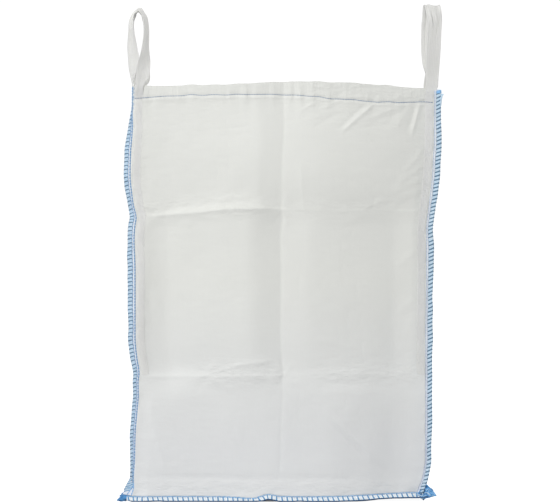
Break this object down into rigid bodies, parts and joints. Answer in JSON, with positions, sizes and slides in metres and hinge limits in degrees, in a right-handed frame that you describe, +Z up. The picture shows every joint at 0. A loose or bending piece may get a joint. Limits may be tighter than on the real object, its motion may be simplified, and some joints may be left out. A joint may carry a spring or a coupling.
{
  "type": "bulk bag",
  "caption": "Open-top woven bulk bag with overlocked corner seams and upright webbing lifting loops that fold outward.",
  "frame": {"origin": "on the ground below the middle of the bag", "axes": "+Z up, -Y out of the front panel, +X to the right seen from the front"},
  "size_m": [0.9752, 0.9752, 1.4546],
  "materials": {
    "woven_cloth": "coated white woven polypropylene, soft satin",
    "seam_cloth": "doubled white woven polypropylene",
    "webbing": "white ribbed polypropylene webbing, matt",
    "blue_thread": "blue spun sewing thread"
  },
  "bodies": {
    "bag": {"back_bottom_chain_stitch": "blue_thread", "back_bottom_overlock": "blue_thread", "back_bottom_seam": "seam_cloth", "back_hem": "woven_cloth", "back_hem_stitch": "blue_thread", "back_left_back_leg": "webbing", "back_left_chain_stitch": "blue_thread", "back_left_ear": "seam_cloth", "back_left_overlock": "blue_thread", "back_left_seam": "seam_cloth", "back_left_side_leg": "webbing", "back_panel": "woven_cloth", "back_right_back_leg": "webbing", "back_right_chain_stitch": "blue_thread", "back_right_ear": "seam_cloth", "back_right_overlock": "blue_thread", "back_right_seam": "seam_cloth", "back_right_side_leg": "webbing", "bottom_panel": "woven_cloth", "front_bottom_chain_stitch": "blue_thread", "front_bottom_overlock": "blue_thread", "front_bottom_seam": "seam_cloth", "front_hem": "woven_cloth", "front_hem_stitch": "blue_thread", "front_left_chain_stitch": "blue_thread", "front_left_ear": "seam_cloth", "front_left_front_leg": "webbing", "front_left_overlock": "blue_thread", "front_left_seam": "seam_cloth", "front_left_side_leg": "webbing", "front_panel": "woven_cloth", "front_right_chain_stitch": "blue_thread", "front_right_ear": "seam_cloth", "front_right_front_leg": "webbing", "front_right_overlock": "blue_thread", "front_right_seam": "seam_cloth", "front_right_side_leg": "webbing", "left_bottom_chain_stitch": "blue_thread", "left_bottom_overlock": "blue_thread", "left_bottom_seam": "seam_cloth", "left_hem": "woven_cloth", "left_hem_stitch": "blue_thread", "left_panel": "woven_cloth", "right_bottom_chain_stitch": "blue_thread", "right_bottom_overlock": "blue_thread", "right_bottom_seam": "seam_cloth", "right_hem": "woven_cloth", "right_hem_stitch": "blue_thread", "right_panel": "woven_cloth"},
    "front_right_loop": {"front_right_lifting_loop": "webbing"},
    "back_right_loop": {"back_right_lifting_loop": "webbing"},
    "back_left_loop": {"back_left_lifting_loop": "webbing"},
    "front_left_loop": {"front_left_lifting_loop": "webbing"}
  },
  "joints": [
    {"name": "front_right_loop_swing", "type": "hinge", "parent": "bag", "child": "front_right_loop", "pos_m": [0.44838, -0.44838, 1.222], "axis": [0.7071, 0.7071, 0], "range_deg": [0, 175]},
    {"name": "back_right_loop_swing", "type": "hinge", "parent": "bag", "child": "back_right_loop", "pos_m": [0.44838, 0.44838, 1.222], "axis": [-0.7071, 0.7071, 0], "range_deg": [0, 175]},
    {"name": "back_left_loop_swing", "type": "hinge", "parent": "bag", "child": "back_left_loop", "pos_m": [-0.44838, 0.44838, 1.222], "axis": [-0.7071, -0.7071, 0], "range_deg": [0, 175]},
    {"name": "front_left_loop_swing", "type": "hinge", "parent": "bag", "child": "front_left_loop", "pos_m": [-0.44838, -0.44838, 1.222], "axis": [0.7071, -0.7071, 0], "range_deg": [0, 175]}
  ]
}
